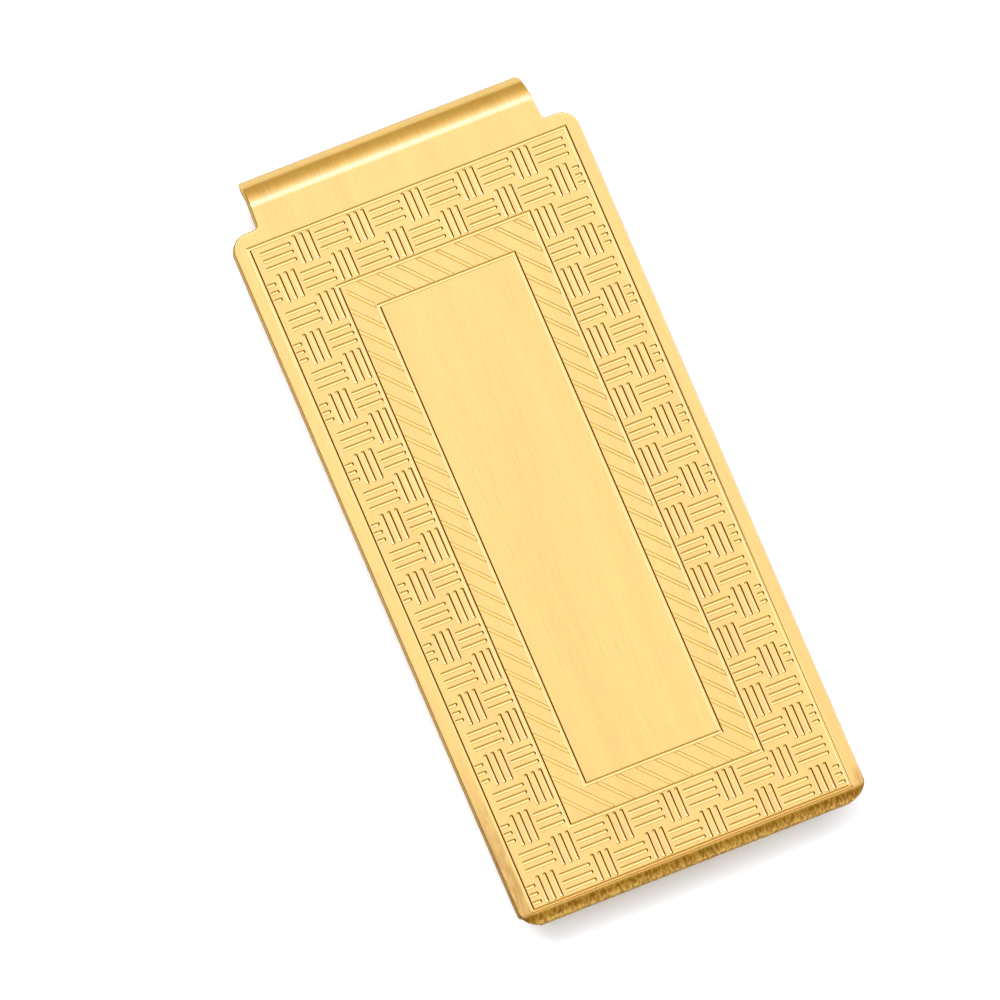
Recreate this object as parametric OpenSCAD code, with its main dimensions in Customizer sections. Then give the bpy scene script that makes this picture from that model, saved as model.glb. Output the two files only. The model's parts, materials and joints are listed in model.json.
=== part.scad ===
// Spring-hinged money clip, lying on its back with the decorated face up.
// +X right, +Y toward the curled neck, +Z out of the decorated face.
// The origin is under the middle of the clip, on the surface it lies on.

/* [Front plate] */
// Width of the front plate
plate_w = 24.4; // [20:0.1:34]
// Whole length, from the turned-down end to the outside of the curl
clip_l = 52.9; // [46:0.1:70]
// Thickness of the sheet metal
sheet_t = 0.7; // [0.6:0.05:0.8]
// Radius of the four corners of the plate
corner_r = 1.2; // [0.6:0.1:3]
// Outer radius of the turned-down end
lip_r = 0.85; // [0.85:0.05:1.6]
// How far the turned-down end runs on below its bend
lip_drop = 0.35; // [0.1:0.05:1]

/* [Curled neck] */
// Width of the neck that curls round the hinge
neck_w = 20.15; // [18.5:0.05:20.15]
// Outer radius of the curl
curl_r = 2.3; // [2.2:0.05:2.6]
// Plate that shows between the shoulders and the middle of the curl
neck_gap = 1.35; // [0.5:0.05:3]
// Radius of the neck's own corners, seen from above
neck_corner_r = 0.35; // [0.2:0.05:0.6]
// Radius of the fillets where the neck meets the shoulders
notch_r = 0.3; // [0.1:0.05:0.5]
// How far below the hinge's level the middle of the curl goes on, in degrees
curl_front_a = 10; // [0:1:12]
// How far below the hinge's level the two side straps go on, in degrees
curl_strap_a = 100; // [90:1:110]

/* [Hinge] */
// Radius of the hinge pin
pin_r = 0.6; // [0.5:0.05:0.65]
// Running clearance between the pin and the arm's eyes
pin_play = 0.05; // [0.02:0.01:0.08]
// Outer radius of the arm's eyes and of the spring
eye_r = 1.3; // [1.2:0.05:1.35]
// Width of each of the arm's two eyes
eye_w = 2.3; // [1.5:0.1:2.5]
// Gap at each end of an eye
end_play = 0.15; // [0.1:0.05:0.3]
// How far the straps stop short of the neck's edges
strap_inset = 0.8; // [0:0.05:1]
// How far the bushes and the pin stop short of the straps' outer edges
bush_inset = 0.1; // [0:0.01:0.2]
// Gap between the arm and each side strap
strap_gap = 0.4; // [0.2:0.05:0.6]

/* [Arm] */
// Width of the arm
arm_w = 13.8; // [12:0.1:14]
// Slope of the arm from the hinge down to its belly, in degrees
arm_drop_a = 3.8; // [3.5:0.1:4.2]
// Slope of the arm from its belly up to its pressing ridge, in degrees
arm_rise_a = 30; // [26:1:34]
// Slope of the arm's tip, down from the pressing ridge, in degrees
arm_flare_a = 22; // [15:1:28]
// Middle radius of the bend at the belly
belly_r = 10; // [8:0.5:12]
// Middle radius of the pressing ridge
ridge_r = 2.6; // [2:0.1:4]
// Length of the flared tip
tip_l = 4.5; // [3:0.5:6]
// Corner radius of the tip, seen from above
tip_corner_r = 3.5; // [1:0.5:5]
// Gap between the pressing ridge and the plate when the clip is empty
ridge_gap = 0.12; // [0.05:0.01:0.3]

/* [Spring] */
// Radius of the spring wire
wire_r = 0.22; // [0.15:0.01:0.25]
// Number of whole turns in the spring
coil_turns = 12; // [8:1:16]
// Length of the leg that lifts the arm
arm_leg_l = 5; // [3:0.5:7]
// Gap between each leg and the sheet it bears on
leg_gap = 0.03; // [0.01:0.01:0.08]

/* [Colours] */
// Colour of the polished metal
gold_c = "#F4DC96";
// Colour of the steel pin and spring
steel_c = "#B9BCC0";

/* [Hidden] */
$fn = 96;

hinge_y = clip_l / 2 - curl_r;
hinge_z = curl_r;
top_z = 2 * curl_r;
under_z = top_z - sheet_t;
curl_in_r = curl_r - sheet_t;
plate_end_y = -clip_l / 2;
shoulder_y = hinge_y - neck_gap;
reach = 2 * clip_l;

// Stations along the hinge, outward from the middle
eye_out_x = arm_w / 2;
eye_in_x = eye_out_x - eye_w;
bush_in_x = eye_out_x + end_play;
strap_out_x = neck_w / 2 - strap_inset;
bush_out_x = strap_out_x - bush_inset;
bush_l = bush_out_x - bush_in_x;
strap_in_x = eye_out_x + strap_gap;
coil_half_l = eye_in_x - end_play - wire_r;

// Straight runs of the arm that put its belly on the table and its ridge under the plate
half_t = sheet_t / 2;
belly_steps = 17;
ridge_steps = 13;
arm_run = (hinge_z - half_t - belly_r * (1 - cos(arm_drop_a))) / sin(arm_drop_a);
ridge_z = under_z - ridge_gap - half_t;
rise_h = ridge_z - half_t - (belly_r + ridge_r) * (1 - cos(arm_rise_a));
rise_run = rise_h / sin(arm_rise_a);
spring_notch = eye_r + 2 * wire_r;

// Spring path: the arm's leg, the turns, then the hook under the curl
coil_r = eye_r - wire_r;
turn_steps = 16;
wire_sides = 8;
coil_pitch = 2 * coil_half_l / coil_turns;
leg_rise = half_t / cos(arm_drop_a) + arm_leg_l * tan(arm_drop_a) + wire_r + leg_gap;
hook_y = curl_r - sheet_t / 2;
hook_z = -(curl_r * sin(curl_front_a) + wire_r + leg_gap);
hook_bends_y = [hook_y - 4 * wire_r, hook_y - 1.6 * wire_r];
twist_guard = [1, 0.02, 0];
cutter_spare = 1;

// Outlines drawn in the side view, with their X along Y and their Y along Z
module along_x(from_x, to_x) {
    translate([from_x, 0, 0]) rotate([90, 0, 90]) linear_extrude(to_x - from_x) children();
}

// Part of a ring of sheet metal, between two angles
module ring_part(r_out, r_in, from_a, to_a) {
    mid_a = (from_a + to_a) / 2;
    far = 3 * r_out;
    intersection() {
        difference() {
            circle(r_out);
            circle(r_in);
        }
        polygon([[0, 0], far * [cos(from_a), sin(from_a)], far * [cos(mid_a), sin(mid_a)],
                 far * [cos(to_a), sin(to_a)]]);
    }
}

// Rounded rectangle made of squares and circles, from its lowest and highest corners
module round_box(low, high, r) {
    translate([low.x + r, low.y]) square([high.x - low.x - 2 * r, high.y - low.y]);
    translate([low.x, low.y + r]) square([high.x - low.x, high.y - low.y - 2 * r]);
    for (x = [low.x + r, high.x - r], y = [low.y + r, high.y - r]) translate([x, y]) circle(r);
}

// Outline of the plate and neck, seen from above
module plate_outline() {
    round_box([-plate_w / 2, plate_end_y], [plate_w / 2, shoulder_y], corner_r);
    round_box([-neck_w / 2, shoulder_y - corner_r * 2], [neck_w / 2, clip_l / 2], neck_corner_r);
    for (side = [-1, 1])
        translate([side * (neck_w / 2 + notch_r), shoulder_y + notch_r]) difference() {
            translate([side > 0 ? -notch_r : 0, -notch_r]) square(notch_r);
            circle(notch_r);
        }
}

// Side view of the flat, the turned-down end and the middle of the curl
module plate_side() {
    translate([plate_end_y + lip_r, under_z]) square([hinge_y - plate_end_y - lip_r, sheet_t]);
    translate([plate_end_y + lip_r, top_z - lip_r]) ring_part(lip_r, lip_r - sheet_t, 90, 180);
    translate([plate_end_y, top_z - lip_r - lip_drop]) square([sheet_t, lip_drop]);
    translate([hinge_y, hinge_z]) ring_part(curl_r, curl_in_r, -curl_front_a, 90);
}

module strap_side() {
    translate([hinge_y, hinge_z]) ring_part(curl_r, curl_in_r, -curl_strap_a, -curl_front_a);
}

module front_plate() {
    color(gold_c) intersection() {
        union() {
            along_x(-plate_w / 2, plate_w / 2) plate_side();
            along_x(-strap_out_x, -strap_in_x) strap_side();
            along_x(strap_in_x, strap_out_x) strap_side();
        }
        linear_extrude(top_z) plate_outline();
    }
}

// Bush that fills one end of the curl and holds the pin
module bush(side) {
    color(gold_c) translate([side > 0 ? bush_in_x : -bush_out_x, hinge_y, hinge_z])
        rotate([0, 90, 0]) difference() {
            cylinder(r = curl_in_r, h = bush_l);
            translate([0, 0, -cutter_spare]) cylinder(r = pin_r, h = bush_l + 2 * cutter_spare);
        }
}

module bush_left() { bush(-1); }
module bush_right() { bush(1); }

module hinge_pin() {
    color(steel_c) translate([-bush_out_x, hinge_y, hinge_z])
        rotate([0, 90, 0]) cylinder(r = pin_r, h = 2 * bush_out_x);
}

// Points along the spring: [x, y, z] measured from the middle of the hinge
function coil_point(i) =
    let (a = -90 + 360 * i / turn_steps, x = -coil_half_l + coil_pitch * i / turn_steps)
    [x, coil_r * cos(a), coil_r * sin(a)];
coil_steps = coil_turns * turn_steps;
spring_path = concat(
    [[-coil_half_l, -arm_leg_l, -leg_rise]],
    [for (i = [0 : coil_steps]) coil_point(i)],
    [for (y = hook_bends_y) [coil_half_l, y, -coil_r]],
    [[coil_half_l, hook_y, hook_z]]);

// Ring of points round the path at step i, square to the wire
function unit(v) = v / norm(v);
function path_dir(p, i) = unit(p[min(i + 1, len(p) - 1)] - p[max(i - 1, 0)]);
function wire_ring(p, i) =
    let (d = path_dir(p, i), out = unit(cross(d, twist_guard)), up = cross(d, out))
    [for (k = [0 : wire_sides - 1]) let (a = 360 * k / wire_sides)
        p[i] + wire_r * (cos(a) * out + sin(a) * up)];

module wire(path) {
    n = len(path);
    points = [for (i = [0 : n - 1]) each wire_ring(path, i)];
    walls = [for (i = [0 : n - 2], k = [0 : wire_sides - 1])
        let (a = i * wire_sides, b = a + wire_sides, next = (k + 1) % wire_sides)
        [a + k, b + k, b + next, a + next]];
    first = [for (k = [0 : wire_sides - 1]) k];
    last = [for (k = [wire_sides - 1 : -1 : 0]) (n - 1) * wire_sides + k];
    polyhedron(points, concat(walls, [first, last]), convexity = 8);
}

module torsion_spring() {
    color(steel_c) translate([0, hinge_y, hinge_z]) wire(spring_path);
}

// Stations along the middle of the arm's strip: [distance from the hinge, height, slope]
function walk(s, len) = [s[0] + len * cos(s[2]), s[1] + len * sin(s[2]), s[2]];
function last(list) = list[len(list) - 1];
function bend(s, mid_r, turn, steps) =
    [for (i = [1 : steps]) let (side = sign(turn), a = s[2] + turn * i / steps)
        [s[0] + side * mid_r * (sin(a) - sin(s[2])), s[1] + side * mid_r * (cos(s[2]) - cos(a)), a]];
// Point to one side of the strip's middle line, by half the sheet's thickness
function beside(s, side) = [s[0], s[1]] + side * half_t * [-sin(s[2]), cos(s[2])];

hinge_station = [0, 0, -arm_drop_a];
belly_station = walk(hinge_station, arm_run);
belly = bend(belly_station, belly_r, arm_drop_a + arm_rise_a, belly_steps);
ridge_station = walk(last(belly), rise_run);
ridge = bend(ridge_station, ridge_r, -arm_rise_a - arm_flare_a, ridge_steps);
tip_station = walk(last(ridge), tip_l);
arm_line = concat([hinge_station, belly_station], belly, [ridge_station], ridge, [tip_station]);

module arm_side() {
    n = len(arm_line);
    polygon(concat([for (s = arm_line) beside(s, 1)],
                   [for (i = [n - 1 : -1 : 0]) beside(arm_line[i], -1)]));
}

// Outline of the arm seen from above, with the room for the spring left out
module arm_outline() {
    difference() {
        round_box([-arm_w / 2, -tip_station[0]], [arm_w / 2, tip_corner_r * 2], tip_corner_r);
        translate([-eye_in_x, -spring_notch]) square([2 * eye_in_x, reach]);
    }
}

module clip_arm() {
    color(gold_c) translate([0, hinge_y, hinge_z]) difference() {
        union() {
            intersection() {
                mirror([0, 1, 0]) along_x(-arm_w / 2, arm_w / 2) arm_side();
                translate([0, 0, -reach / 2]) linear_extrude(reach) arm_outline();
            }
            for (x = [-eye_out_x, eye_in_x])
                translate([x, 0, 0]) rotate([0, 90, 0]) cylinder(r = eye_r, h = eye_w);
        }
        translate([-arm_w, 0, 0]) rotate([0, 90, 0]) cylinder(r = pin_r + pin_play, h = 2 * arm_w);
    }
}

front_plate();
bush_left();
bush_right();
hinge_pin();
torsion_spring();
clip_arm();
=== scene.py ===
"""Looks of the spring-hinged money clip: engraved plate, bowed arm, pin, bushes and spring."""

import json
import math

import bpy
from mathutils import Matrix, Vector
from mathutils.geometry import delaunay_2d_cdt


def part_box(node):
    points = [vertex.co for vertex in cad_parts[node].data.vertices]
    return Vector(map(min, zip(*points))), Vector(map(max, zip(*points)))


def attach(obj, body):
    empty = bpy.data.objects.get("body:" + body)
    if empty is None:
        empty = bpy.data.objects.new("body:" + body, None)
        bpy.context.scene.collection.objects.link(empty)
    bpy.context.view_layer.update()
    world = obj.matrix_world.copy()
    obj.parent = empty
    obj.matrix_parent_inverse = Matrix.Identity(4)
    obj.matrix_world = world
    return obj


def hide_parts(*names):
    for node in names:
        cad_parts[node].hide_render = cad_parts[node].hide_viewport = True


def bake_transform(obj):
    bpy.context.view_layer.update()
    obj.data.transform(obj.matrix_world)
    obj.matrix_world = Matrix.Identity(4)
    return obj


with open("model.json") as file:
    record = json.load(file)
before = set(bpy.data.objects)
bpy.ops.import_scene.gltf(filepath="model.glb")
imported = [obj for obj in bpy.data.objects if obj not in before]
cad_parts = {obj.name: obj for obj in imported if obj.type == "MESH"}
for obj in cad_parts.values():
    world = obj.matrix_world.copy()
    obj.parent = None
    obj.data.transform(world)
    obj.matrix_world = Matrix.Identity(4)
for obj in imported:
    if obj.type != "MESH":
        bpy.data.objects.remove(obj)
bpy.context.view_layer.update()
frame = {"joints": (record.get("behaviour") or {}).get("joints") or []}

MM = 0.001

# ---------------------------------------------------------------- sizes, in mm, from the frame

plate_low, plate_high = ([c / MM for c in corner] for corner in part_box("front_plate"))
arm_high = [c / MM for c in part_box("clip_arm")[1]]
bush_low, bush_high = ([c / MM for c in corner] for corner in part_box("bush_right"))
pin_low, pin_high = ([c / MM for c in corner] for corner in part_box("hinge_pin"))
spring_low, spring_high = ([c / MM for c in corner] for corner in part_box("torsion_spring"))
hinge = next(joint for joint in frame["joints"] if joint["name"] == "arm_hinge")

HINGE_Y = hinge["pos_m"][1] / MM
HINGE_Z = hinge["pos_m"][2] / MM
TOP_Z = plate_high[2]
END_Y = plate_low[1]
CURL_R = TOP_Z - HINGE_Z
BUSH_R = (bush_high[2] - bush_low[2]) / 2
PIN_R = (pin_high[2] - pin_low[2]) / 2
SHEET_T = CURL_R - BUSH_R
PLATE_HALF_W = plate_high[0]

# Shape of the plate, as in the CAD model
CORNER_R = 1.2
LIP_R = 0.85
LIP_DROP = 0.35
NECK_HALF_W = 10.075
NECK_TAPER = 0.16
NECK_CORNER_R = 0.35
SHOULDER_Y = HINGE_Y - 1.35
NOTCH_R = 0.3
CURL_MAIN_A = 100
CURL_STRAP_A = 190
STRAP_IN_X = 7.3
STRAP_OUT_X = 9.275
STRAP_CORNER_R = 0.5

# Rounding of the sheet's edges
EDGE_R = 0.11
EDGE_BAND = 0.05
BACK_EDGE_R = 0.07

# Engraving: the outer line's rectangle, and the weave's and the rope border's pitches
FIELD_HALF_W = 11.2
FIELD_TOP = 21.72
FIELD_BOTTOM = -25.58
LINE_HALF_W = 0.135
SLOT_HALF_W = 0.135
COLUMN_PITCH = 1.925
ROW_PITCH = 2.15
ROWS = 22
COLUMNS = range(-1, 12)
FIRST_COLUMN_X = 1.63
FIRST_ROW_Y = 1.15
ACROSS_L = 2.2
ACROSS_STEP = 0.54
ALONG_L = 2.22
ALONG_STEP = 0.5
BORDER_OUT = (4.43, 4.4, 17.97, 43.0)
BORDER_IN = (6.42, 6.55, 16.0, 40.85)
ROPE_SLOPE = 1.1
ROPE_PITCH = 1.52
ROPE_START = -0.375
ROPE_HALF_W = 0.135
ROPE_DEPTH = 0.04
ROPE_RANGE = range(-12, 28)
ROPE_SHORTEST = 0.3
# A rope cut that would start right in the border's corner starts this far in
ROPE_CORNER = 0.25
# Section of a rope cut: each ring's two edges across the cut, and its share of the depth
ROPE_SECTION = (((-1, 1), 0), ((-0.4, 0.85), 1))
ROPE_END = 0.03

GROOVE_DEPTH = 0.042
# Upright cuts get deeper toward the free end, by this share of the depth
UPRIGHT_DEEPER = 0.35
GROOVE_GAP = 0.03
SLOT_SHORTEST = 2 * SLOT_HALF_W + 0.06
# A groove's rings get shorter toward the bottom, by this run and at most these shares of its length
GROOVE_RUN_OUT = 0.09
RING_PULL_MOST = 0.3
FLOOR_PULL = 1.5 * GROOVE_RUN_OUT
FLOOR_PULL_MOST = 0.4
# Section of a groove from its rim to its floor, as shares of half width and depth
GROOVE_SECTION = ((1, 0), (0.8, 0.4), (0.55, 0.75), (0.25, 0.95))
# Extra points this close to a line's corners keep each side's shading its own
CORNER_STEP = 0.06

# Arm, pin and spring, as in the CAD model
ARM_HALF_W = arm_high[0]
EYE_R = 1.3
EYE_BORE_R = 0.65
EYE_IN_X = 4.6
ARM_DROP_A = 3.8
ARM_RISE_A = 30
ARM_FLARE_A = 22
BELLY_R = 10
RIDGE_R = 2.6
RIDGE_GAP = 0.12
TIP_L = 4.5
TIP_CORNER_R = 3.5
SPRING_NOTCH = 1.74
WIRE_R = 0.22
COIL_TURNS = 12
ARM_LEG_L = 5
LEG_GAP = 0.03
# The hook's two bends before the curl's edge, in wire radii, and the drawn wire's slack
HOOK_RUN = 4
HOOK_BEND = 1.6
WIRE_SLACK = 0.004
CURL_FRONT_A = 10
EYE_TAIL = 0.75 * EYE_R
TURNED_EDGE_R = 0.09
BLANK_CHAMFER = 0.15
LIP_STEPS = 14

# Materials: linear colours, and the streaks' stretch across the length
GOLD = (0.97, 0.7, 0.26)
GOLD_DULL = [c * 0.95 for c in GOLD]
GOLD_BRIGHT = [min(1, c * 1.03) for c in GOLD]
# Dark colour of the scratches on the lower margins, also used as painted shade there and on the
# turned-down end
SCRATCH_AND_SHADE = (0.38, 0.19, 0.035)
STREAKS = (22, 1, 1)
BROAD_STREAKS = (14, 1, 1)
EVEN = (1, 1, 1)
NOISE_LOW = 0.3
NOISE_HIGH = 0.7
STEEL_DARK = (0.42, 0.42, 0.43)
STEEL_MIDDLE = (0.5, 0.5, 0.51)
STEEL_LIGHT = (0.58, 0.58, 0.59)


# ---------------------------------------------------------------- small helpers

def polar(angle):
    return math.cos(math.radians(angle)), math.sin(math.radians(angle))


def arc(center, radius, start, stop, steps):
    """Points along an arc, in degrees, both ends included."""
    points = []
    for i in range(steps + 1):
        c, s = polar(start + (stop - start) * i / steps)
        points.append((center[0] + radius * c, center[1] + radius * s))
    return points


def inset(loop, distance):
    """A closed anticlockwise loop moved inward along its corners' normals."""
    moved = []
    for i, (x, y) in enumerate(loop):
        before, after = loop[i - 1], loop[(i + 1) % len(loop)]
        n1 = Vector((before[1] - y, x - before[0])).normalized()
        n2 = Vector((y - after[1], after[0] - x)).normalized()
        n = (n1 + n2).normalized()
        reach = distance / max(0.4, n.dot(n1))
        moved.append((x + n.x * reach, y + n.y * reach))
    return moved


def add_object(name, verts, faces, materials, face_slots=None, sharp_edges=(), sharp_angle=35):
    """A mesh object from points in mm, smooth except at the named edges and past the angle."""
    mesh = bpy.data.meshes.new(name)
    mesh.from_pydata([(x * MM, y * MM, z * MM) for x, y, z in verts], [], faces)
    for material in materials:
        mesh.materials.append(material)
    if face_slots:
        mesh.polygons.foreach_set("material_index", face_slots)
    mesh.validate()
    mesh.shade_smooth()
    mesh.set_sharp_from_angle(angle=math.radians(sharp_angle))
    wanted = {tuple(sorted(edge)) for edge in sharp_edges}
    for edge in mesh.edges:
        if tuple(sorted(edge.vertices)) in wanted:
            edge.use_edge_sharp = True
    obj = bpy.data.objects.new(name, mesh)
    bpy.context.scene.collection.objects.link(obj)
    return obj


# ---------------------------------------------------------------- materials

def principled(name, color, roughness, metallic=1.0):
    material = bpy.data.materials.new(name)
    material.use_nodes = True
    shader = material.node_tree.nodes["Principled BSDF"]
    shader.inputs["Base Color"].default_value = (*color, 1)
    shader.inputs["Roughness"].default_value = roughness
    shader.inputs["Metallic"].default_value = metallic
    return material, shader


def stretched_noise(tree, scale, stretch, detail=4):
    """Noise in object space, squeezed across X so that it draws streaks along the length."""
    nodes, links = tree.nodes, tree.links
    coords = nodes.new("ShaderNodeTexCoord")
    mapping = nodes.new("ShaderNodeMapping")
    mapping.inputs["Scale"].default_value = stretch
    noise = nodes.new("ShaderNodeTexNoise")
    noise.inputs["Scale"].default_value = scale
    noise.inputs["Detail"].default_value = detail
    links.new(coords.outputs["Object"], mapping.inputs["Vector"])
    links.new(mapping.outputs["Vector"], noise.inputs["Vector"])
    return noise.outputs["Fac"]


def remap(tree, value, low, high):
    """Noise spread over a range of values."""
    node = tree.nodes.new("ShaderNodeMapRange")
    node.inputs["From Min"].default_value = NOISE_LOW
    node.inputs["From Max"].default_value = NOISE_HIGH
    node.inputs["To Min"].default_value = low
    node.inputs["To Max"].default_value = high
    tree.links.new(value, node.inputs["Value"])
    return node.outputs["Result"]


def across_tangent(tree, shader):
    """Brushing runs along the length, so highlights spread across it."""
    axis = tree.nodes.new("ShaderNodeCombineXYZ")
    axis.inputs["X"].default_value = 1
    tree.links.new(axis.outputs["Vector"], shader.inputs["Tangent"])


def between(tree, value, start, stop, low=0, high=1):
    """Value turned to a smooth step between two places."""
    node = tree.nodes.new("ShaderNodeMapRange")
    node.interpolation_type = "SMOOTHSTEP"
    node.inputs["From Min"].default_value = start
    node.inputs["From Max"].default_value = stop
    node.inputs["To Min"].default_value = low
    node.inputs["To Max"].default_value = high
    tree.links.new(value, node.inputs["Value"])
    return node.outputs["Result"]


def combine(tree, operation, a, b):
    node = tree.nodes.new("ShaderNodeMath")
    node.operation = operation
    tree.links.new(a, node.inputs[0])
    tree.links.new(b, node.inputs[1])
    return node.outputs["Value"]


def scratch_and_shade_places(tree):
    """Shares of darkening: dark lengthwise scratches mixed with painted shade on the lower left margin
    and lower right corner, and painted shade on the turned-down end.
    """
    coords = tree.nodes.new("ShaderNodeTexCoord")
    parts = tree.nodes.new("ShaderNodeSeparateXYZ")
    tree.links.new(coords.outputs["Object"], parts.inputs["Vector"])
    x, y = parts.outputs["X"], parts.outputs["Y"]
    left = combine(tree, "MULTIPLY",
                   between(tree, x, (0.3 - FIELD_HALF_W) * MM, (-0.3 - FIELD_HALF_W) * MM),
                   between(tree, y, (END_Y + 14) * MM, (END_Y + 1.5) * MM))
    right = combine(tree, "MULTIPLY", between(tree, x, (FIELD_HALF_W - 0.1) * MM, PLATE_HALF_W * MM),
                    between(tree, y, (END_Y + 2.4) * MM, (END_Y + 1) * MM))
    # Painted shade on the turned-down end, which faces down away from the light
    end = between(tree, y, (LIP_START - 0.05) * MM, (LIP_START - 0.4) * MM, 0, 0.75)
    return combine(tree, "MAXIMUM", left, right), end


def satin_gold(name, roughness, spread, bump_height, scratches_and_shade=False):
    """Gold brushed along its length: streaks in roughness, tone and height, and where asked, dark
    scratches with painted shade on the lower margins and painted shade on the turned-down end.
    """
    material, shader = principled(name, GOLD, roughness)
    tree = material.node_tree
    shader.inputs["Anisotropic"].default_value = 0.8
    across_tangent(tree, shader)

    fine = stretched_noise(tree, 500, STREAKS, 5)
    coarse = stretched_noise(tree, 45, BROAD_STREAKS, 3)
    tree.links.new(remap(tree, fine, roughness - spread, roughness + spread),
                   shader.inputs["Roughness"])

    tone = tree.nodes.new("ShaderNodeMix")
    tone.data_type = "RGBA"
    tone.inputs["A"].default_value = (*GOLD_DULL, 1)
    tone.inputs["B"].default_value = (*GOLD_BRIGHT, 1)
    tree.links.new(remap(tree, coarse, 0, 1), tone.inputs["Factor"])
    color = tone.outputs["Result"]
    # Painted shade: the lower left margin and lower right corner get dark scratch grain that also
    # darkens them as shade, and the turned-down end gets dark specks
    if scratches_and_shade:
        margins, end = scratch_and_shade_places(tree)
        grain = between(tree, stretched_noise(tree, 900, (8, 1, 1), 4), NOISE_LOW, NOISE_HIGH,
                        0.25, 0.65)
        shade_specks = between(tree, stretched_noise(tree, 2600, (2.5, 1, 1), 4), 0.42, 0.62)
        deep = combine(tree, "MAXIMUM", combine(tree, "MULTIPLY", grain, margins),
                       combine(tree, "MULTIPLY", shade_specks, end))
        scratched_and_shaded = tree.nodes.new("ShaderNodeMix")
        scratched_and_shaded.data_type = "RGBA"
        scratched_and_shaded.inputs["B"].default_value = (*SCRATCH_AND_SHADE, 1)
        tree.links.new(deep, scratched_and_shaded.inputs["Factor"])
        tree.links.new(color, scratched_and_shaded.inputs["A"])
        color = scratched_and_shaded.outputs["Result"]
    tree.links.new(color, shader.inputs["Base Color"])

    bump = tree.nodes.new("ShaderNodeBump")
    bump.inputs["Strength"].default_value = 1
    bump.inputs["Distance"].default_value = bump_height * MM
    tree.links.new(fine, bump.inputs["Height"])
    tree.links.new(bump.outputs["Normal"], shader.inputs["Normal"])
    return material


def cut_gold():
    """Bright-cut gold inside the engraved grooves, with the cutter's faint chatter."""
    material, shader = principled("gold_cut", GOLD, 0.1)
    tree = material.node_tree
    chatter = stretched_noise(tree, 900, EVEN, 2)
    tree.links.new(remap(tree, chatter, 0.08, 0.15), shader.inputs["Roughness"])
    bump = tree.nodes.new("ShaderNodeBump")
    bump.inputs["Distance"].default_value = 0.004 * MM
    tree.links.new(chatter, bump.inputs["Height"])
    tree.links.new(bump.outputs["Normal"], shader.inputs["Normal"])
    return material


def polished_gold():
    """Gold of the turned bushes and the pin's ends."""
    material, shader = principled("gold_polished", GOLD, 0.16)
    tree = material.node_tree
    wear = stretched_noise(tree, 400, EVEN, 4)
    tree.links.new(remap(tree, wear, 0.11, 0.24), shader.inputs["Roughness"])
    return material


def spring_steel():
    """Drawn steel wire: grey, with faint marks of the die."""
    material, shader = principled("spring_steel", STEEL_MIDDLE, 0.25)
    tree = material.node_tree
    marks = stretched_noise(tree, 700, (1, 3, 3), 4)
    tree.links.new(remap(tree, marks, 0.18, 0.36), shader.inputs["Roughness"])
    tone = tree.nodes.new("ShaderNodeMix")
    tone.data_type = "RGBA"
    tone.inputs["A"].default_value = (*STEEL_DARK, 1)
    tone.inputs["B"].default_value = (*STEEL_LIGHT, 1)
    tree.links.new(marks, tone.inputs["Factor"])
    tree.links.new(tone.outputs["Result"], shader.inputs["Base Color"])
    return material


# ---------------------------------------------------------------- the front plate's sheet

# The sheet is drawn flat, as (x, u): u is y on the flat, and length along the outer face in the bends.
LIP_START = END_Y + LIP_R
LIP_LENGTH = LIP_R * math.pi / 2
BLANK_END = LIP_START - LIP_LENGTH - LIP_DROP


def curl_u(angle):
    """u at an angle round the curl, from 0 where it leaves the flat."""
    return HINGE_Y + CURL_R * math.radians(angle)


def outer_face(u):
    """(y, z, slope) of the plate's outer face; slope turns from 0 on the flat toward -Z at +Y."""
    if u < LIP_START:
        run = min(LIP_START - u, LIP_LENGTH)
        angle = run / LIP_R
        drop = max(0, LIP_START - u - LIP_LENGTH)
        y = LIP_START - LIP_R * math.sin(angle)
        z = TOP_Z - LIP_R * (1 - math.cos(angle)) - drop
        return y, z, -angle
    if u > HINGE_Y:
        angle = (u - HINGE_Y) / CURL_R
        return HINGE_Y + CURL_R * math.sin(angle), HINGE_Z + CURL_R * math.cos(angle), angle
    return u, TOP_Z, 0


def bent(x, u, depth):
    """Point of the plate at (x, u) on the flat sheet, at a depth under the outer face."""
    y, z, slope = outer_face(u)
    return x, y - depth * math.sin(slope), z - depth * math.cos(slope)


def plan_half_width(y):
    """Half width of the neck seen from above, for the rounded corners at its far end."""
    along = max(0, y - SHOULDER_Y) / (plate_high[1] - SHOULDER_Y)
    half = NECK_HALF_W - NECK_TAPER * along
    into = y - (plate_high[1] - NECK_CORNER_R)
    if into > 0:
        half -= NECK_CORNER_R - math.sqrt(max(0, NECK_CORNER_R ** 2 - into ** 2))
    return half


def plate_right_side():
    """Right-hand outline of the flat sheet, from the lip's end up to the main curl's end."""
    inner_x = PLATE_HALF_W - CORNER_R
    side = [(inner_x - BLANK_CHAMFER, BLANK_END), (inner_x, BLANK_END + BLANK_CHAMFER)]
    for i in range(LIP_STEPS, -1, -1):
        u = LIP_START - LIP_LENGTH * i / LIP_STEPS
        y = outer_face(u)[0]
        into = CORNER_R - (y - END_Y)
        side.append((inner_x + math.sqrt(CORNER_R ** 2 - into ** 2), u))
    start = math.degrees(math.asin(-(CORNER_R - LIP_R) / CORNER_R))
    side += arc((inner_x, END_Y + CORNER_R), CORNER_R, start, 0, 3)[1:]
    side += arc((inner_x, SHOULDER_Y - CORNER_R), CORNER_R, 0, 90, 14)
    side += arc((NECK_HALF_W + NOTCH_R, SHOULDER_Y + NOTCH_R), NOTCH_R, 270, 180, 8)
    side.append((plan_half_width(HINGE_Y), HINGE_Y))
    return side


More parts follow.
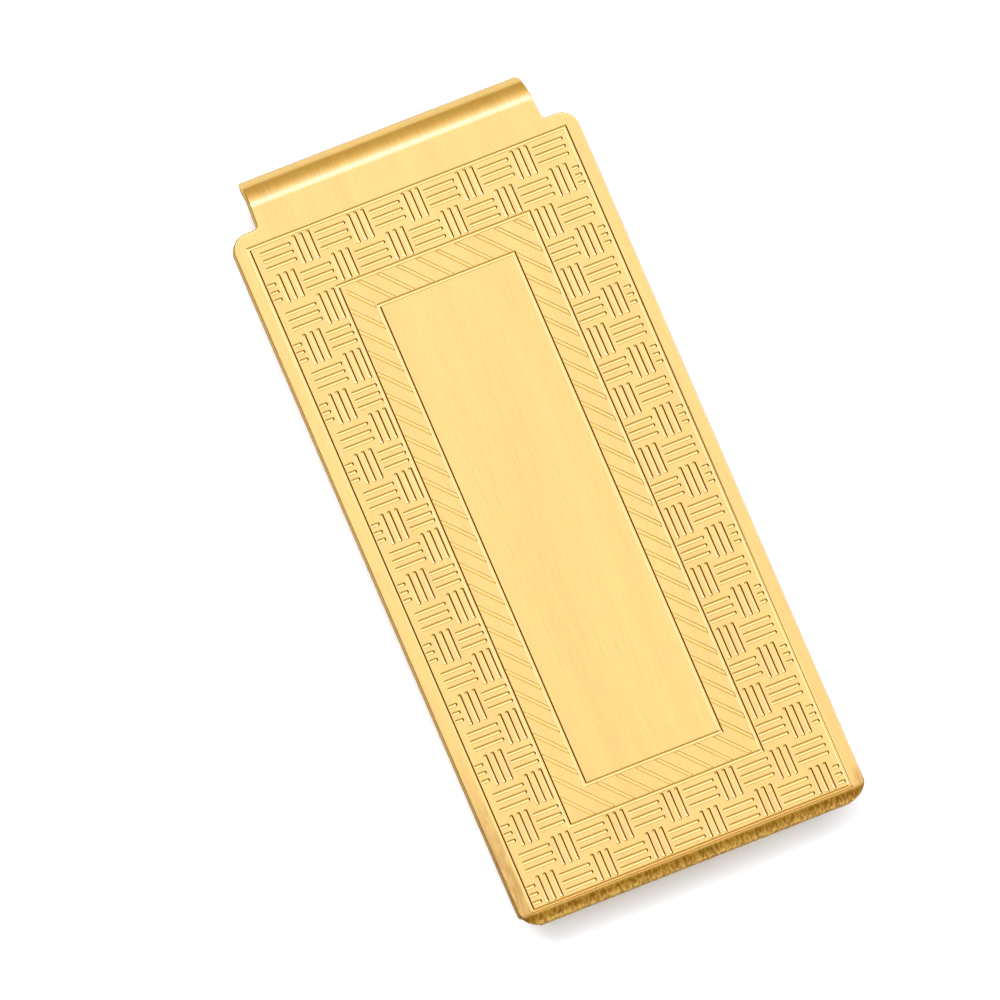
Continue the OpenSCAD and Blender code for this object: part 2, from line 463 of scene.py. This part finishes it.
def plate_outline():
    """The flat sheet's whole outline, anticlockwise, and the pairs of its points that a bend joins."""
    right = plate_right_side()
    first_bend, last_bend = 1, 2 + LIP_STEPS
    hinge_index = len(right) - 1
    curl_steps = 40
    for i in range(1, curl_steps + 1):
        u = curl_u(CURL_MAIN_A * i / curl_steps)
        right.append((plan_half_width(outer_face(u)[0]), u))
    main_end = len(right) - 1

    strap_steps = 32
    strap_out, strap_in = [(STRAP_OUT_X, curl_u(CURL_MAIN_A))], []
    for i in range(1, strap_steps + 1):
        u = curl_u(CURL_MAIN_A + (CURL_STRAP_A - CURL_MAIN_A) * i / strap_steps)
        left_over = curl_u(CURL_STRAP_A) - u
        into = max(0, STRAP_CORNER_R - left_over)
        cut = STRAP_CORNER_R - math.sqrt(STRAP_CORNER_R ** 2 - into ** 2)
        strap_out.append((STRAP_OUT_X - cut, u))
        strap_in.append((STRAP_IN_X + cut, u))
    notch = (STRAP_IN_X, curl_u(CURL_MAIN_A))

    half = right + strap_out + strap_in[::-1] + [notch]
    loop = half + [(-x, u) for x, u in half[::-1]]
    count = len(loop)
    joined = []
    for i in range(first_bend, last_bend + 1):
        joined.append((i, count - 1 - i))
    for i in range(hinge_index, main_end):
        joined.append((i, count - 1 - i))
    notch_index = len(half) - 1
    for i in range(strap_steps):
        out, inner = main_end + 1 + i, notch_index - i
        joined.append((out, inner))
        joined.append((count - 1 - out, count - 1 - inner))
    return loop, joined


# ---------------------------------------------------------------- the engraving

def field(x, y):
    """A place in the engraved field, from its top left corner, in the plate's own frame."""
    return x - FIELD_HALF_W, FIELD_TOP - y


def stadium(a, b, half_w, steps):
    """Closed anticlockwise loop round the segment a-b, with round ends."""
    along = math.degrees(math.atan2(b[1] - a[1], b[0] - a[0]))
    return (arc(b, half_w, along - 90, along + 90, steps)
            + arc(a, half_w, along + 90, along + 270, steps))


def rectangle(x0, y0, x1, y1, grow):
    """A line rectangle's loop, grown outward, with points close to its corners."""
    low, high = field(x0 - grow, y1 + grow), field(x1 + grow, y0 - grow)
    corners = [Vector(low), Vector((high[0], low[1])), Vector(high), Vector((low[0], high[1]))]
    points = []
    for a, b in zip(corners, corners[1:] + corners[:1]):
        step = (b - a).normalized() * CORNER_STEP
        points += [tuple(a), tuple(a + step), tuple(b - step)]
    return points


def clip(low, high, allowed):
    """The stretch of low..high inside the allowed range, or None if too little is left."""
    low, high = max(low, allowed[0]), min(high, allowed[1])
    return (low, high) if high - low > SLOT_SHORTEST else None


def weave_slots():
    """Segments of the basket weave, as ((x0, y0), (x1, y1)) centre lines in field coordinates."""
    edge = LINE_HALF_W + GROOVE_GAP
    width, height = 2 * FIELD_HALF_W, FIELD_TOP - FIELD_BOTTOM
    left, top, right, bottom = BORDER_OUT
    slots = []
    for row in range(ROWS):
        cy = FIRST_ROW_Y + ROW_PITCH * row
        beside = top < cy < bottom
        for column in COLUMNS:
            cx = FIRST_COLUMN_X + COLUMN_PITCH * column
            bands = [(edge, width - edge)]
            if beside:
                bands = [(edge, left - edge), (right + edge, width - edge)]
            up = (edge, top - edge) if cy < top else (bottom + edge, height - edge)
            rows_allowed = (edge, height - edge) if beside else up
            for k in (-1, 0, 1):
                if (row + column) % 2 == 0:
                    y = cy + k * ACROSS_STEP
                    for band in bands:
                        piece = clip(cx - ACROSS_L / 2, cx + ACROSS_L / 2, band)
                        if piece:
                            slots.append(((piece[0] + SLOT_HALF_W, y), (piece[1] - SLOT_HALF_W, y)))
                else:
                    x = cx + k * ALONG_STEP
                    piece = clip(cy - ALONG_L / 2, cy + ALONG_L / 2, rows_allowed)
                    fits = any(b[0] + SLOT_HALF_W <= x <= b[1] - SLOT_HALF_W for b in bands)
                    if piece and fits:
                        slots.append(((x, piece[0] + SLOT_HALF_W), (x, piece[1] - SLOT_HALF_W)))
    return slots


def rope_slots():
    """Slanted cuts of the rope border: one family of parallel lines, kept between its two lines.

    Each is its two ends and whether each end lies on a line that runs across or along the plate.
    """
    edge = LINE_HALF_W + GROOVE_GAP
    x0, y0 = BORDER_OUT[0] + edge, BORDER_OUT[1] + edge
    x1, y1 = BORDER_OUT[2] - edge, BORDER_OUT[3] - edge
    hole = BORDER_IN[0] - edge, BORDER_IN[1] - edge, BORDER_IN[2] + edge, BORDER_IN[3] + edge

    def span(c, x0, y0, x1, y1):
        """Ends of the line y = slope x + c inside a box, each with the kind of side that it is on."""
        start = max((x0, "along"), ((y0 - c) / ROPE_SLOPE, "across"))
        stop = min((x1, "along"), ((y1 - c) / ROPE_SLOPE, "across"))
        return start, stop

    slots = []
    for k in ROPE_RANGE:
        c = ROPE_START + ROPE_PITCH * k
        start, stop = span(c, x0, y0, x1, y1)
        hole_start, hole_stop = span(c, *hole)
        pieces = [(start, stop)]
        if hole_stop[0] > hole_start[0]:
            pieces = [(start, hole_start), (hole_stop, stop)]
        for (a, a_side), (b, b_side) in pieces:
            if abs(a - x0) < ROPE_CORNER and abs(ROPE_SLOPE * a + c - y0) < ROPE_CORNER:
                a, a_side = a + ROPE_CORNER, "along"
            if b - a > ROPE_SHORTEST:
                slots.append(((a, ROPE_SLOPE * a + c), (b, ROPE_SLOPE * b + c), a_side, b_side))
    return slots, (x0, y0, x1, y1)


class FlatDrawing:
    """Points and edges of the sheet's outer face before it is bent, with each point's depth."""

    def __init__(self):
        self.points, self.depths, self.edges, self.rims = [], [], [], set()

    def loop(self, points, depth=0, rim=False, closed=True):
        first = len(self.points)
        self.points += points
        self.depths += [depth] * len(points)
        last = len(points) if closed else len(points) - 1
        for i in range(last):
            if rim:
                self.rims.add(len(self.edges))
            self.edges.append((first + i, first + (i + 1) % len(points)))

    def sheet(self, outline, joined):
        """The sheet's outline and bend lines, and a second loop that keeps the edge's shading narrow."""
        self.loop(outline)
        self.edges += joined
        first = len(self.points)
        self.loop(inset(outline, EDGE_BAND))
        self.edges += [(first + i, first + j) for i, j in joined]

    def slot(self, a, b, half_w, depth):
        """A groove with round ends: its rim, the rings of its section, and its bottom line."""
        a, b = field(*a), field(*b)
        along = Vector(b) - Vector(a)
        length = along.length
        along.normalize()
        for width, share in GROOVE_SECTION:
            pull = along * min(GROOVE_RUN_OUT * share ** 4, RING_PULL_MOST * length)
            steps = 8 if width > 0.5 else 4
            ends = stadium(Vector(a) + pull, Vector(b) - pull, half_w * width, steps)
            self.loop(ends, depth * share, rim=width == 1)
        pull = along * min(FLOOR_PULL, FLOOR_PULL_MOST * length)
        self.loop([tuple(Vector(a) + pull), tuple(Vector(b) - pull)], depth, closed=False)

    def slanted(self, a, b, a_side, b_side, half_w, depth, bounds):
        """A slanted cut between two lines: its rim, and its flat floor."""
        x0, y0, x1, y1 = bounds
        dx, dy = b[0] - a[0], b[1] - a[1]
        length = math.hypot(dx, dy)
        for (low, high), share in ROPE_SECTION:
            corners = []
            for (x, y), toward, side, offset in ((a, 1, a_side, low), (b, -1, b_side, low),
                                                 (b, -1, b_side, high), (a, 1, a_side, high)):
                shift = offset * half_w
                inward = toward * ROPE_END * share
                x, y = x + dx / length * inward, y + dy / length * inward
                if side == "across":
                    x += shift * length / dy
                else:
                    y -= shift * length / dx
                corners.append((x, y))
            squeeze = ROPE_END * share
            corners = [(min(max(x, x0 + squeeze), x1 - squeeze),
                        min(max(y, y0 + squeeze), y1 - squeeze)) for x, y in corners]
            self.loop([field(*corner) for corner in corners], depth * share, rim=True)

    def line_rectangle(self, corners, half_w, depth):
        """An engraved rectangle: the same groove run round four sides."""
        for width, share in GROOVE_SECTION:
            self.loop(rectangle(*corners, width * half_w), depth * share, rim=width == 1)
            self.loop(rectangle(*corners, -width * half_w), depth * share, rim=width == 1)
        self.loop(rectangle(*corners, 0), depth)


def engraved_drawing(outline, joined):
    drawing = FlatDrawing()
    drawing.sheet(outline, joined)
    height = FIELD_TOP - FIELD_BOTTOM
    drawing.line_rectangle((0, 0, 2 * FIELD_HALF_W, height), LINE_HALF_W, GROOVE_DEPTH)
    drawing.line_rectangle(BORDER_OUT, LINE_HALF_W, GROOVE_DEPTH)
    drawing.line_rectangle(BORDER_IN, LINE_HALF_W, GROOVE_DEPTH)
    for a, b in weave_slots():
        upright = abs(a[0] - b[0]) < abs(a[1] - b[1])
        deeper = UPRIGHT_DEEPER * a[1] / height if upright else 0
        drawing.slot(a, b, SLOT_HALF_W, GROOVE_DEPTH * (1 + deeper))
    cuts, bounds = rope_slots()
    for a, b, a_side, b_side in cuts:
        drawing.slanted(a, b, a_side, b_side, ROPE_HALF_W, ROPE_DEPTH, bounds)
    return drawing


def triangulate(drawing):
    """Triangles of a drawing, with each new point's depth and the edges that are groove rims."""
    points = [Vector(p) for p in drawing.points]
    verts, edges, faces, from_verts, from_edges, _ = delaunay_2d_cdt(points, drawing.edges, [], 1, 1e-5)
    depths = [max((drawing.depths[i] for i in origin), default=0) for origin in from_verts]
    rims = [edge for edge, origin in zip(edges, from_edges) if drawing.rims.intersection(origin)]
    return [(v.x, v.y) for v in verts], depths, faces, rims, from_verts


def build_sheet(drawing, outline, joined, place, thickness):
    """Parts of a bent sheet: the drawn outer face, rounded edges, and a plain inner face."""
    verts, faces, slots = [], [], []
    flat, depths, triangles, rims, origins = triangulate(drawing)
    verts += [place(x, u, depth) for (x, u), depth in zip(flat, depths)]
    for face in triangles:
        faces.append(tuple(face))
        slots.append(1 if max(depths[i] for i in face) > 0 else 0)

    count = len(outline)
    ring = [0] * count
    for i, origin in enumerate(origins):
        for source in origin:
            if source < count:
                ring[source] = i

    edge_steps = 6
    rings = [ring]
    turns = [(EDGE_R, 90 * i / edge_steps, 1) for i in range(1, edge_steps + 1)]
    turns += [(BACK_EDGE_R, 90 - 90 * i / 3, -1) for i in range(4)]
    for radius, angle, side in turns:
        c, s = polar(angle)
        out = radius * (1 - s)
        depth = radius * (1 - c) if side > 0 else thickness - radius * (1 - c)
        moved = inset(outline, out - EDGE_R)
        rings.append(list(range(len(verts), len(verts) + count)))
        verts += [place(x, u, depth) for x, u in moved]
    for upper, lower in zip(rings, rings[1:]):
        for i in range(count):
            j = (i + 1) % count
            faces.append((upper[i], lower[i], lower[j], upper[j]))
            slots.append(0)

    back = FlatDrawing()
    back_loop = inset(outline, BACK_EDGE_R - EDGE_R)
    back.loop(back_loop)
    back.edges += joined
    flat, _, triangles, _, origins = triangulate(back)
    shift = {}
    for i, (x, u) in enumerate(flat):
        sources = [k for k in origins[i] if k < count]
        if sources:
            shift[i] = rings[-1][sources[0]]
        else:
            shift[i] = len(verts)
            verts.append(place(x, u, thickness))
    for face in triangles:
        faces.append(tuple(shift[i] for i in reversed(face)))
        slots.append(0)
    return verts, faces, slots, rims


def make_plate(materials):
    full, joined = plate_outline()
    outline = inset(full, EDGE_R)
    drawing = engraved_drawing(outline, joined)
    verts, faces, slots, rims = build_sheet(drawing, outline, joined, bent, SHEET_T)
    return add_object("front_plate_engraved", verts, faces, materials, slots, rims)


# ---------------------------------------------------------------- turned parts, arm and spring

def turned(from_x, to_x, outer_r, bore_r):
    """Points and faces of a ring or a pin along the hinge, with its outer edges rounded."""
    turns = 64
    ends = [(TURNED_EDGE_R * (1 - s), outer_r - TURNED_EDGE_R * (1 - c))
            for c, s in (polar(a) for a in (90, 60, 30, 0))]
    section = [(from_x + x, r) for x, r in ends] + [(to_x - x, r) for x, r in ends[::-1]]
    if bore_r:
        section = [(from_x, bore_r)] + section + [(to_x, bore_r)]
    verts = []
    for i in range(turns):
        c, s = polar(360 * i / turns)
        verts += [(x, HINGE_Y + r * c, HINGE_Z + r * s) for x, r in section]
    width = len(section)
    faces = []
    for i in range(turns):
        a, b = i * width, (i + 1) % turns * width
        for k in range(width if bore_r else width - 1):
            n = (k + 1) % width
            faces.append((a + k, b + k, b + n, a + n))
    if not bore_r:
        first_end = [i * width for i in range(turns)]
        faces += [tuple(reversed(first_end)), tuple(i + width - 1 for i in first_end)]
    return verts, faces


def arm_stations():
    """Middle line of the arm's strip: run from the hinge, height over it, slope, and length so far."""
    half_t = SHEET_T / 2
    slope = math.radians(-ARM_DROP_A)
    stations = [(0, 0, slope, 0)]

    def walk(length):
        run, height, a, total = stations[-1]
        stations.append((run + length * math.cos(a), height + length * math.sin(a), a, total + length))

    def bend(radius, turn, steps):
        run, height, a0, total = stations[-1]
        side = math.copysign(1, turn)
        for i in range(1, steps + 1):
            a = a0 + math.radians(turn) * i / steps
            stations.append((run + side * radius * (math.sin(a) - math.sin(a0)),
                             height + side * radius * (math.cos(a0) - math.cos(a)),
                             a, total + radius * math.radians(abs(turn)) * i / steps))

    drop_c, drop_s = polar(ARM_DROP_A)
    rise_c, rise_s = polar(ARM_RISE_A)
    walk((HINGE_Z - half_t - BELLY_R * (1 - drop_c)) / drop_s)
    bend(BELLY_R, ARM_DROP_A + ARM_RISE_A, 24)
    ridge_z = TOP_Z - SHEET_T - RIDGE_GAP - half_t
    walk((ridge_z - half_t - (BELLY_R + RIDGE_R) * (1 - rise_c)) / rise_s)
    bend(RIDGE_R, -ARM_RISE_A - ARM_FLARE_A, 20)
    walk(TIP_L)
    return stations


STATIONS = arm_stations()


def arm_place(x, u, depth):
    """Point of the arm at (x, u) on its flat strip; u is minus the length from the hinge."""
    length = -u
    k = max(i for i, station in enumerate(STATIONS[:-1]) if station[3] <= max(0, length))
    run0, height0, a0, l0 = STATIONS[k]
    run1, height1, a1, l1 = STATIONS[k + 1]
    share = (length - l0) / (l1 - l0)
    slope = a0 + (a1 - a0) * share
    run, height = run0 + (run1 - run0) * share, height0 + (height1 - height0) * share
    up = SHEET_T / 2 - depth
    return x, HINGE_Y - run + up * math.sin(slope), HINGE_Z + height + up * math.cos(slope)


def make_arm(materials):
    end = STATIONS[-1][3]
    flare = polar(ARM_FLARE_A)[0]
    side = []
    tip_steps = 14
    for i in range(tip_steps + 1):
        c, s = polar(90 * i / tip_steps - 90)
        side.append((ARM_HALF_W - TIP_CORNER_R * (1 - c), -end + TIP_CORNER_R * (1 + s) / flare))
    side += [(ARM_HALF_W, -station[3]) for station in STATIONS[-2:0:-1]]
    last_bend = len(side) - 1
    side += [(ARM_HALF_W, -EYE_TAIL), (EYE_IN_X, -EYE_TAIL), (EYE_IN_X, -SPRING_NOTCH)]
    full = side + [(-x, u) for x, u in side[::-1]]
    count = len(full)
    joined = [(i, count - 1 - i) for i in range(1, last_bend + 1)]
    outline = inset(full, EDGE_R)
    drawing = FlatDrawing()
    drawing.sheet(outline, joined)
    verts, faces, slots, _ = build_sheet(drawing, outline, joined, arm_place, SHEET_T)
    for hand in (-1, 1):
        low, high = sorted((hand * EYE_IN_X, hand * ARM_HALF_W))
        more, more_faces = turned(low, high, EYE_R, EYE_BORE_R)
        faces += [tuple(len(verts) + i for i in face) for face in more_faces]
        verts += more
    return add_object("clip_arm_bowed", verts, faces, materials)


def make_spring(material):
    """The wound wire: the leg under the arm, the turns, and the hook under the edge of the curl."""
    half_t = SHEET_T / 2
    coil_r = EYE_R - WIRE_R
    half_l = spring_high[0] - WIRE_R
    c, s = polar(ARM_DROP_A)
    drop = half_t / c + ARM_LEG_L * s / c + WIRE_R + LEG_GAP
    hook_y = CURL_R - half_t
    hook_z = -(CURL_R * polar(CURL_FRONT_A)[1] + WIRE_R + LEG_GAP)
    path = [Vector((-half_l, -ARM_LEG_L, -drop))]
    per_turn = 32
    for i in range(COIL_TURNS * per_turn + 1):
        c, s = polar(360 * i / per_turn - 90)
        path.append(Vector((half_l * (2 * i / (COIL_TURNS * per_turn) - 1), coil_r * c, coil_r * s)))
    path += [Vector((half_l, hook_y - HOOK_RUN * WIRE_R, -coil_r)),
             Vector((half_l, hook_y - HOOK_BEND * WIRE_R, -coil_r)),
             Vector((half_l, hook_y, hook_z))]

    sides = 12
    verts, faces = [], []
    for i, point in enumerate(path):
        along = (path[min(i + 1, len(path) - 1)] - path[max(i - 1, 0)]).normalized()
        out = along.cross(Vector((1, 0.02, 0))).normalized()
        up = along.cross(out)
        for k in range(sides):
            c, s = polar(360 * k / sides)
            spot = point + (WIRE_R - WIRE_SLACK) * (c * out + s * up)
            verts.append((spot.x, spot.y + HINGE_Y, spot.z + HINGE_Z))
    for i in range(len(path) - 1):
        a, b = i * sides, (i + 1) * sides
        for k in range(sides):
            n = (k + 1) % sides
            faces.append((a + k, b + k, b + n, a + n))
    faces += [tuple(range(sides)), tuple(range(len(verts) - 1, len(verts) - sides - 1, -1))]
    return add_object("torsion_spring_wound", verts, faces, [material], sharp_angle=60)


# ---------------------------------------------------------------- stage

LIGHT_COLOR = (0.94, 0.97, 1)
FLOOR_COLOR = (0.92, 0.92, 0.925)
FLOOR_HALF = 1.5


def area_light(name, center, size, radiance):
    """A soft light aimed at the clip, seen by the floor but not reflected in the metal."""
    light = bpy.data.lights.new(name, "AREA")
    light.shape = "RECTANGLE"
    light.size, light.size_y = size
    light.energy = math.pi * size[0] * size[1] * radiance
    light.color = LIGHT_COLOR
    obj = bpy.data.objects.new(name, light)
    obj.location = center
    obj.rotation_euler = (-Vector(center)).to_track_quat("-Z", "Y").to_euler()
    obj.visible_glossy = False
    bpy.context.scene.collection.objects.link(obj)
    return obj


# Studio light by direction: its colour at each angle from overhead toward +Y, from straight down
# behind to straight down in front, and its share at each angle toward +X
SKY_ALONG = ((-180, (0.45, 0.35, 0.2)), (-150, (0.5, 0.4, 0.24)), (-120, (0.84, 0.71, 0.46)),
             (-90, (0.74, 0.6, 0.35)), (-66, (0.56, 0.43, 0.2)), (-56, (0.48, 0.36, 0.12)),
             (-24, (0.46, 0.34, 0.11)), (-12, (0.76, 0.68, 0.55)), (0, (0.98, 0.9, 0.8)),
             (8, (1.06, 0.98, 0.91)), (11, (1.12, 1.05, 0.98)), (14, (1.22, 1.17, 1.15)),
             (18, (1.5, 1.45, 1.9)), (23, (2.2, 2.1, 4.0)), (30, (1.65, 1.55, 2.3)),
             (40, (1.18, 1.06, 1.05)),
             (50, (0.96, 0.82, 0.6)), (62, (0.76, 0.6, 0.34)), (75, (0.69, 0.54, 0.28)),
             (96, (0.66, 0.52, 0.27)), (99, (1.02, 0.93, 0.78)), (130, (1.02, 0.93, 0.78)),
             (180, (0.45, 0.35, 0.2)))
SKY_ACROSS_DARK = (0.09, 0.035, 0.01)
SKY_ACROSS = ((-180, 1), (-105, 0.95), (-92, 0.9), (-80, 0.75), (-70, 0.5), (-63, 0.3), (-55, 0),
              (-16, 0), (-8, 0.5),
              (-2, 1.2), (3, 1.3), (9, 1.08), (16, 1), (50, 1), (90, 0.75), (100, 0.9), (180, 1))
SKY_BRIGHTEST = 4
FLOOR_SKY = (0.45, 0.47, 0.5)
BACKDROP = (0.95, 0.95, 0.95)


def angle_ramp(tree, up, side, stops):
    """Brightness looked up by the angle from overhead toward one side."""
    angle = tree.nodes.new("ShaderNodeMath")
    angle.operation = "ARCTAN2"
    tree.links.new(side, angle.inputs[0])
    tree.links.new(up, angle.inputs[1])
    share = tree.nodes.new("ShaderNodeMapRange")
    share.inputs["From Min"].default_value = -math.pi
    share.inputs["From Max"].default_value = math.pi
    tree.links.new(angle.outputs["Value"], share.inputs["Value"])
    ramp = tree.nodes.new("ShaderNodeValToRGB")
    elements = ramp.color_ramp.elements
    while len(elements) < len(stops):
        elements.new(0.5)
    for element, (degrees, color) in zip(elements, stops):
        element.position = degrees / 360 + 0.5
        element.color = (*[part / SKY_BRIGHTEST for part in color], 1)
    tree.links.new(share.outputs["Result"], ramp.inputs["Fac"])
    return ramp.outputs["Color"]


def make_world():
    world = bpy.data.worlds.new("studio")
    world.use_nodes = True
    tree = world.node_tree
    direction = tree.nodes.new("ShaderNodeTexCoord")
    parts = tree.nodes.new("ShaderNodeSeparateXYZ")
    tree.links.new(direction.outputs["Generated"], parts.inputs["Vector"])
    along = angle_ramp(tree, parts.outputs["Z"], parts.outputs["Y"], SKY_ALONG)
    across = angle_ramp(tree, parts.outputs["Z"], parts.outputs["X"],
                        [(degrees, [share + dark * max(0, 1 - share) for dark in SKY_ACROSS_DARK])
                         for degrees, share in SKY_ACROSS])
    light = tree.nodes.new("ShaderNodeMix")
    light.data_type = "RGBA"
    light.blend_type = "MULTIPLY"
    light.inputs["Factor"].default_value = 1
    tree.links.new(along, light.inputs["A"])
    tree.links.new(across, light.inputs["B"])

    # The floor is lit by a plain neutral sky, and past its edge the camera sees a pale backdrop
    ray = tree.nodes.new("ShaderNodeLightPath")
    color = light.outputs["Result"]
    for kind, plain in (("Is Diffuse Ray", FLOOR_SKY), ("Is Camera Ray", BACKDROP)):
        swap = tree.nodes.new("ShaderNodeMix")
        swap.data_type = "RGBA"
        tree.links.new(ray.outputs[kind], swap.inputs["Factor"])
        tree.links.new(color, swap.inputs["A"])
        swap.inputs["B"].default_value = (*[part / SKY_BRIGHTEST ** 2 for part in plain], 1)
        color = swap.outputs["Result"]
    background = tree.nodes["Background"]
    tree.links.new(color, background.inputs["Color"])
    background.inputs["Strength"].default_value = SKY_BRIGHTEST ** 2
    bpy.context.scene.world = world


def make_floor():
    mesh = bpy.data.meshes.new("floor")
    half = FLOOR_HALF
    mesh.from_pydata([(-half, -half, 0), (half, -half, 0), (half, half, 0), (-half, half, 0)],
                     [], [(0, 1, 2, 3)])
    material, shader = principled("floor_white", FLOOR_COLOR, 0.9, 0)
    shader.inputs["Specular IOR Level"].default_value = 0
    mesh.materials.append(material)
    floor = bpy.data.objects.new("floor", mesh)
    floor.visible_glossy = False
    bpy.context.scene.collection.objects.link(floor)


# The camera looks almost straight down, a little from the lower left, and is turned so that the
# clip leans to the left
CAMERA_TILT = 0.19
CAMERA_TURN = 23.07
CAMERA_DISTANCE = 1.5
CAMERA_AIM = (-2.516 * MM, 0.314 * MM, TOP_Z * MM)
FRAME_WIDTH = 64.65 * MM
SENSOR = 36


def make_camera():
    back = Vector((-CAMERA_TILT, -CAMERA_TILT, 1)).normalized()
    c, s = polar(90 - CAMERA_TURN)
    up = Vector((c, s, 0))
    up = (up - back * up.dot(back)).normalized()
    right = up.cross(back)
    data = bpy.data.cameras.new("camera")
    data.sensor_width = SENSOR
    data.lens = SENSOR * CAMERA_DISTANCE / FRAME_WIDTH
    data.clip_start = 0.01
    data.clip_end = 20
    camera = bpy.data.objects.new("camera", data)
    place = Vector(CAMERA_AIM) + back * CAMERA_DISTANCE
    camera.matrix_world = Matrix.Translation(place) @ Matrix((right, up, back)).transposed().to_4x4()
    bpy.context.scene.collection.objects.link(camera)
    bpy.context.scene.camera = camera


# ---------------------------------------------------------------- the scene

make_camera()
make_world()
make_floor()
area_light("key", (-0.3, 0.42, 1.0), (0.6, 0.6), 8.0)
area_light("fill", (0, 0, 1.2), (1.5, 1.5), 2.6)
bpy.context.scene.view_settings.view_transform = "Standard"

satin = satin_gold("gold_satin", 0.26, 0.05, 0.003, scratches_and_shade=True)
brushed = satin_gold("gold_brushed", 0.28, 0.05, 0.003)
cut = cut_gold()
polished = polished_gold()
steel = spring_steel()

plate = make_plate([satin, cut])
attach(plate, "plate")
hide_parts("front_plate")

arm = make_arm([brushed])
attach(arm, "arm")
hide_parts("clip_arm")

bush_x = bush_low[0], bush_high[0]
for name, node, from_x, to_x, outer_r, bore_r in (
        ("bush_turned_left", "bush_left", -bush_x[1], -bush_x[0], BUSH_R, PIN_R),
        ("bush_turned_right", "bush_right", *bush_x, BUSH_R, PIN_R),
        ("hinge_pin_turned", "hinge_pin", pin_low[0], pin_high[0], PIN_R, 0)):
    part = add_object(name, *turned(from_x, to_x, outer_r, bore_r), [polished])
    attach(part, "plate")
    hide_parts(node)

spring = make_spring(steel)
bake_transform(spring)
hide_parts("torsion_spring")
